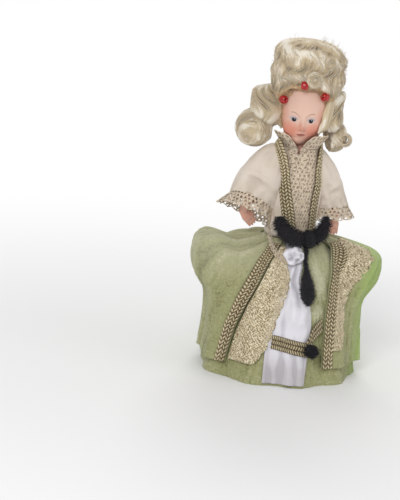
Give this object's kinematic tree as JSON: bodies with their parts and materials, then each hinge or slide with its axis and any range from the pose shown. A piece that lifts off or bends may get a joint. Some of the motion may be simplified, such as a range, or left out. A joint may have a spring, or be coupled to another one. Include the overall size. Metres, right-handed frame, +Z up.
{
  "type": "celluloid costume doll",
  "caption": "Jointed celluloid doll in court dress: strung head, arms and legs, mohair wig with beads, cream coat, lace, plush skirts with braid, satin panel and chenille bow",
  "frame": {"origin": "on the floor at the middle of the skirt's outline, below the neck", "axes": "+Z up; the doll faces -Y and its own left side is +X"},
  "size_m": [0.1029, 0.0806, 0.1737],
  "materials": {
    "celluloid": "satin flesh-coloured celluloid with painted features",
    "elastic": "covered elastic cord",
    "wire": "bent wire",
    "gauze": "stiff gauze",
    "mohair": "pale blond mohair, set in waves and rolls",
    "bead_glass": "clear red glass",
    "coat_cloth": "cream fine-woven cotton",
    "ecru_lace": "ecru cotton lace with scalloped edge",
    "gold_braid": "flat woven metallic braid",
    "gold_lace": "open metallic lace",
    "white_satin": "white satin",
    "green_plush": "olive-green plush with a crushed pile",
    "black_chenille": "black chenille"
  },
  "bodies": {
    "figure": {"torso_shell": "celluloid", "arm_elastic": "elastic", "hip_elastic": "elastic", "neck_elastic": "elastic", "tension_hook": "wire", "coat_body": "coat_cloth", "lace_collar": "ecru_lace", "lace_jabot": "ecru_lace", "left_front_braid": "gold_braid", "right_front_braid": "gold_braid", "left_edge_braid": "gold_braid", "right_edge_braid": "gold_braid", "hem_braid": "gold_braid", "left_edge_lace": "gold_lace", "right_edge_lace": "gold_lace", "waistband": "white_satin", "satin_panel": "white_satin", "panel_knot": "white_satin", "underskirt": "green_plush", "overskirt": "green_plush", "bow_knot": "black_chenille", "left_bow_loop": "black_chenille", "right_bow_loop": "black_chenille", "bow_tail": "black_chenille", "bow_tassel": "black_chenille", "hem_rosette": "black_chenille"},
    "head": {"hair_pompadour": "mohair", "right_upper_curl": "mohair", "right_lower_curl": "mohair", "left_upper_curl": "mohair", "left_lower_curl": "mohair", "left_ringlet": "mohair", "nape_roll": "mohair", "bead_right": "bead_glass", "bead_centre": "bead_glass", "bead_left": "bead_glass", "head_shell": "celluloid", "wig_cap": "gauze"},
    "left_arm_body": {"left_arm": "celluloid", "left_sleeve": "coat_cloth", "left_cuff_lace": "ecru_lace"},
    "right_arm_body": {"right_arm": "celluloid", "right_sleeve": "coat_cloth", "right_cuff_lace": "ecru_lace"},
    "left_leg_body": {"left_leg": "celluloid"},
    "right_leg_body": {"right_leg": "celluloid"}
  },
  "joints": [
    {"name": "neck_turn", "type": "hinge", "parent": "figure", "child": "head", "pos_m": [0, 0, 0.115], "axis": [0, 0, 1], "range_deg": [-60, 60]},
    {"name": "left_shoulder", "type": "hinge", "parent": "figure", "child": "left_arm_body", "pos_m": [0.0147, 0.002, 0.102], "axis": [-1, 0, 0], "range_deg": [-30, 90]},
    {"name": "right_shoulder", "type": "hinge", "parent": "figure", "child": "right_arm_body", "pos_m": [-0.0147, 0.002, 0.102], "axis": [-1, 0, 0], "range_deg": [-30, 90]},
    {"name": "left_hip", "type": "hinge", "parent": "figure", "child": "left_leg_body", "pos_m": [0.0091, 0, 0.058], "axis": [-1, 0, 0], "range_deg": [-15, 15]},
    {"name": "right_hip", "type": "hinge", "parent": "figure", "child": "right_leg_body", "pos_m": [-0.0091, 0, 0.058], "axis": [-1, 0, 0], "range_deg": [-15, 15]}
  ]
}
